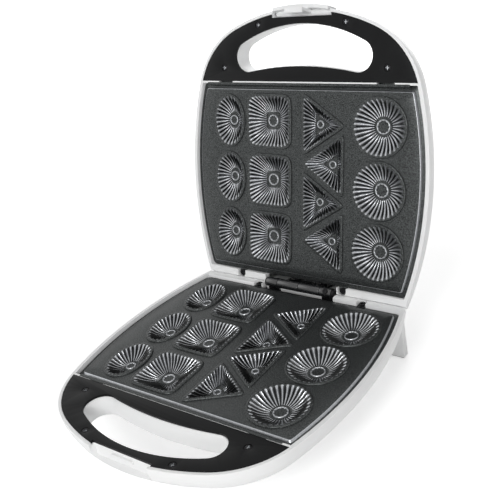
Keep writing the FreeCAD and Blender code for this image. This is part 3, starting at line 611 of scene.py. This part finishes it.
# Reflectors: thin pans of rolled aluminium sheet on posts under the elements.
# Rolling leaves fine straight lines, drawn about 9 mm apart so that they show.
rolling_mm = 9.4248
sheet_edge_mm = 0.15
rolled_sheet, tree, shader, place = new_surface("rolled_aluminium_sheet", {"Metallic": 1.0})
lines = add_node(tree, "ShaderNodeTexWave", {"wave_type": "BANDS", "bands_direction": "X"}, {
    "Vector": place, "Scale": bands_per_metre(rolling_mm), "Distortion": 2.0, "Detail": 3.0})
sheet = add_node(tree, "ShaderNodeMix", {"data_type": "RGBA"}, {
    "Factor": lines.outputs["Fac"], 6: linear("#b3b5b7"), 7: linear("#cfd0d1")})
tree.links.new(sheet.outputs[2], shader.inputs["Base Color"])
polish = add_node(tree, "ShaderNodeMapRange", {}, {
    "Value": lines.outputs["Fac"], "To Min": 0.24, "To Max": 0.36})
tree.links.new(polish.outputs["Result"], shader.inputs["Roughness"])
dress("base_reflector", rolled_sheet, sheet_edge_mm)
dress("lid_reflector", rolled_sheet, sheet_edge_mm)

# Thermostat, thermal fuses and terminal block: small control parts fixed inside the shells.
# Their bodies are pressed phenolic resin, a dull cream with a sandy filler.
filler_mm = 1.2
control_edge_mm = 0.3
phenolic, tree, shader, place = new_surface("pressed_phenolic_resin", {
    "IOR": 1.6, "Roughness": 0.6})
sand = add_node(tree, "ShaderNodeTexNoise", {}, {
    "Vector": place, "Scale": waves_per_metre(filler_mm), "Detail": 4.0})
body_tint = add_node(tree, "ShaderNodeMix", {"data_type": "RGBA"}, {
    "Factor": sand.outputs["Fac"], 6: linear("#b9ad93"), 7: linear("#d9d0ba")})
tree.links.new(body_tint.outputs[2], shader.inputs["Base Color"])
sanded = add_node(tree, "ShaderNodeBump", {}, {
    "Height": sand.outputs["Fac"], "Strength": 0.2, "Distance": 0.05 * MM})
tree.links.new(sanded.outputs["Normal"], shader.inputs["Normal"])
for control in ("thermostat", "base_thermal_fuse", "lid_thermal_fuse", "terminal_block"):
    dress(control, phenolic, control_edge_mm)

# Lamp lenses: two domed polycarbonate lenses pushed into the lid from outside, red for power
# and green for ready. The clear dyed plastic is deep in the middle and bright at its edge.
dye_mm = 6.0
lens_edge_mm = 0.2
for lens, deep, bright in (("power_lamp_lens", "#8e120e", "#d3362a"),
                           ("ready_lamp_lens", "#12652a", "#37a452")):
    dyed, tree, shader, place = new_surface("dyed_polycarbonate_" + lens, {
        "IOR": 1.58, "Roughness": 0.12, "Transmission Weight": 0.45})
    swirl = add_node(tree, "ShaderNodeTexNoise", {}, {
        "Vector": place, "Scale": waves_per_metre(dye_mm), "Detail": 1.0})
    dye = add_node(tree, "ShaderNodeMix", {"data_type": "RGBA"}, {
        "Factor": swirl.outputs["Fac"], 6: linear(deep), 7: linear(bright)})
    tree.links.new(dye.outputs[2], shader.inputs["Base Color"])
    dress(lens, dyed, lens_edge_mm)

# Lamp bulbs: neon indicator bulbs behind the lenses, drawn glass with a faint grey film.
film_mm = 4.0
bulb_edge_mm = 0.4
neon_glass, tree, shader, place = new_surface("drawn_bulb_glass", {
    "IOR": 1.5, "Transmission Weight": 0.85})
film = add_node(tree, "ShaderNodeTexNoise", {}, {
    "Vector": place, "Scale": waves_per_metre(film_mm), "Detail": 2.0})
glass_tint = add_node(tree, "ShaderNodeMix", {"data_type": "RGBA"}, {
    "Factor": film.outputs["Fac"], 6: linear("#d8d2c6"), 7: linear("#f2efe8")})
tree.links.new(glass_tint.outputs[2], shader.inputs["Base Color"])
smear = add_node(tree, "ShaderNodeMapRange", {}, {
    "Value": film.outputs["Fac"], "To Min": 0.04, "To Max": 0.2})
tree.links.new(smear.outputs["Result"], shader.inputs["Roughness"])
dress("lamp_bulbs", neon_glass, bulb_edge_mm)

# Hinge: two black leaves with interleaved knuckles on one headed pin, screwed to the rear walls
# from inside. A set screw in the right knuckle locks the pin, and a ring holds its left end.
# The leaves are powder coated, a glossy black with a slight pebble.
pebble_mm = 1.1
knuckle_edge_mm = 0.35
retainer_edge_mm = 0.2
small_screw_edge_mm = 0.25
powder_black, tree, shader, place = new_surface("black_powder_coat", {
    "IOR": 1.5, "Specular IOR Level": 0.6, "Coat Weight": 0.6, "Coat Roughness": 0.14})
pebble = add_node(tree, "ShaderNodeTexNoise", {}, {
    "Vector": place, "Scale": waves_per_metre(pebble_mm), "Detail": 2.0})
coat_tint = add_node(tree, "ShaderNodeMix", {"data_type": "RGBA"}, {
    "Factor": pebble.outputs["Fac"], 6: linear("#0b0c0d"), 7: linear("#1a1b1d")})
tree.links.new(coat_tint.outputs[2], shader.inputs["Base Color"])
satin = add_node(tree, "ShaderNodeMapRange", {}, {
    "Value": pebble.outputs["Fac"], "To Min": 0.22, "To Max": 0.34})
tree.links.new(satin.outputs["Result"], shader.inputs["Roughness"])
pebbled = add_node(tree, "ShaderNodeBump", {}, {
    "Height": pebble.outputs["Fac"], "Strength": 0.12, "Distance": 0.04 * MM})
tree.links.new(pebbled.outputs["Normal"], shader.inputs["Normal"])
dress("base_hinge_bracket", powder_black, knuckle_edge_mm)
dress("lid_hinge_bracket", powder_black, knuckle_edge_mm)
dress("hinge_pin", black_oxide, knuckle_edge_mm)
dress("pin_retainer", black_oxide, retainer_edge_mm)
for screws in ("hinge_set_screw", "base_hinge_screws", "lid_hinge_screws"):
    dress(screws, black_oxide, small_screw_edge_mm)

# Cord gland and feet: black rubber mouldings. The gland is a tapered bush in the rear wall;
# two round feet stand under the front of the base and two pads under the legs.
# Rubber is dull and dusty, with a fine bloom that greys it in patches.
bloom_mm = 5.0
gland_edge_mm = 0.4
foot_edge_mm = 0.5
moulded_rubber, tree, shader, place = new_surface("moulded_black_rubber", {"IOR": 1.52})
bloom = add_node(tree, "ShaderNodeTexNoise", {}, {
    "Vector": place, "Scale": waves_per_metre(bloom_mm), "Detail": 4.0})
dust = add_node(tree, "ShaderNodeMix", {"data_type": "RGBA"}, {
    "Factor": bloom.outputs["Fac"], 6: linear("#161616"), 7: linear("#2c2c2b")})
tree.links.new(dust.outputs[2], shader.inputs["Base Color"])
dull = add_node(tree, "ShaderNodeMapRange", {}, {
    "Value": bloom.outputs["Fac"], "To Min": 0.65, "To Max": 0.9})
tree.links.new(dull.outputs["Result"], shader.inputs["Roughness"])
dress("cord_gland", moulded_rubber, gland_edge_mm)
dress("rubber_feet", moulded_rubber, foot_edge_mm)

# Floor: a sweep of matt white paper that keeps a soft shadow under the baker.
# It turns to plain white away from the baker, where the lamps no longer reach.
floor_reach_m = 6.0
shadow_lift = 0.42
shadow_near_m = 0.25
white_far_m = 0.75


def rays_that_show(tree):
    """Node that gives 1 to rays from the camera, off a gloss or through glass, and 0 to others."""
    ray = add_node(tree, "ShaderNodeLightPath", {}, {})
    direct = add_node(tree, "ShaderNodeMath", {"operation": "MAXIMUM"}, {
        0: ray.outputs["Is Camera Ray"], 1: ray.outputs["Is Glossy Ray"]})
    return add_node(tree, "ShaderNodeMath", {"operation": "MAXIMUM"}, {
        0: direct.outputs["Value"], 1: ray.outputs["Is Transmission Ray"]})


corners = [(-1, -1, 0), (1, -1, 0), (1, 1, 0), (-1, 1, 0)]
floor_mesh = bpy.data.meshes.new("floor")
floor_points = [[floor_reach_m * part for part in corner] for corner in corners]
floor_mesh.from_pydata(floor_points, [], [(0, 1, 2, 3)])
floor = bpy.data.objects.new("floor", floor_mesh)
bpy.context.scene.collection.objects.link(floor)
paper, tree, shader, place = new_surface("matt_white_paper", {
    "Base Color": linear("#f2f2f2"), "Roughness": 0.9, "Emission Color": linear("#ffffff")})
seen = rays_that_show(tree)
away = add_node(tree, "ShaderNodeVectorMath", {"operation": "LENGTH"}, {0: place})
lift = add_node(tree, "ShaderNodeMapRange", {}, {
    "Value": away.outputs["Value"], "From Min": shadow_near_m, "From Max": white_far_m,
    "To Min": shadow_lift, "To Max": 1.0})
glow = add_node(tree, "ShaderNodeMath", {"operation": "MULTIPLY"}, {
    0: seen.outputs["Value"], 1: lift.outputs["Result"]})
tree.links.new(glow.outputs["Value"], shader.inputs["Emission Strength"])
floor_mesh.materials.append(paper)

# Studio: a white surround and five soft boxes. The small key and side boxes stand in front and
# make the glints in the flutes; the large boxes round the baker keep the white shells even.
surround = 0.32
world = bpy.data.worlds.new("studio")
bpy.context.scene.world = world
world.use_nodes = True
tree = world.node_tree
sky = tree.nodes["Background"]
sky.inputs["Color"].default_value = linear("#ffffff")
seen = rays_that_show(tree)
strength = add_node(tree, "ShaderNodeMapRange", {}, {
    "Value": seen.outputs["Value"], "To Min": surround, "To Max": 1.0})
tree.links.new(strength.outputs["Result"], sky.inputs["Strength"])


def soft_box(name, place_m, aim_m, size_m, watts):
    """Square area lamp turned towards a point of the baker."""
    data = bpy.data.lights.new(name, "AREA")
    data.size = size_m
    data.energy = watts
    lamp = bpy.data.objects.new(name, data)
    bpy.context.scene.collection.objects.link(lamp)
    lamp.location = place_m
    lamp.rotation_euler = (Vector(aim_m) - Vector(place_m)).to_track_quat("-Z", "Y").to_euler()


middle_m = (0.0, 0.02, 0.1)
soft_box("key_box", (0.3, -1.15, 0.85), middle_m, 0.4, 7.4)
soft_box("side_box", (0.9, -1.05, 0.4), middle_m, 0.3, 3.2)
soft_box("fill_box", (-1.3, -0.5, 0.9), middle_m, 1.0, 3.0)
soft_box("top_box", (0.1, 0.3, 1.6), middle_m, 1.2, 2.5)
soft_box("back_box", (-0.3, 1.5, 0.5), middle_m, 1.0, 6.0)

# Camera: the photograph's place and lens, found from the outline of the open baker.
# It looks down from the front right, turned a little about its own axis.
view_azimuth = math.radians(41.34)
view_elevation = math.radians(26.42)
view_roll = math.radians(-11.83)
view_distance = 643.15 * MM
view_target = Vector((-0.03, 20.665, 116.36)) * MM
focal_px = 803.3
image_px = 500
back = Vector((math.sin(view_azimuth) * math.cos(view_elevation),
               -math.cos(view_azimuth) * math.cos(view_elevation), math.sin(view_elevation)))
right = Vector((math.cos(view_azimuth), math.sin(view_azimuth), 0))
up = back.cross(right)
rolled_right = right * math.cos(view_roll) + up * math.sin(view_roll)
rolled_up = up * math.cos(view_roll) - right * math.sin(view_roll)
camera_data = bpy.data.cameras.new("photo_view")
camera_data.sensor_width = 36.0
camera_data.lens = focal_px / image_px * camera_data.sensor_width
camera_data.clip_start = 0.01
camera = bpy.data.objects.new("photo_view", camera_data)
bpy.context.scene.collection.objects.link(camera)
turned = Matrix((rolled_right, rolled_up, back)).transposed().to_4x4()
turned.translation = view_target + back * view_distance
camera.matrix_world = turned
bpy.context.scene.camera = camera
bpy.context.scene.view_settings.view_transform = "Standard"
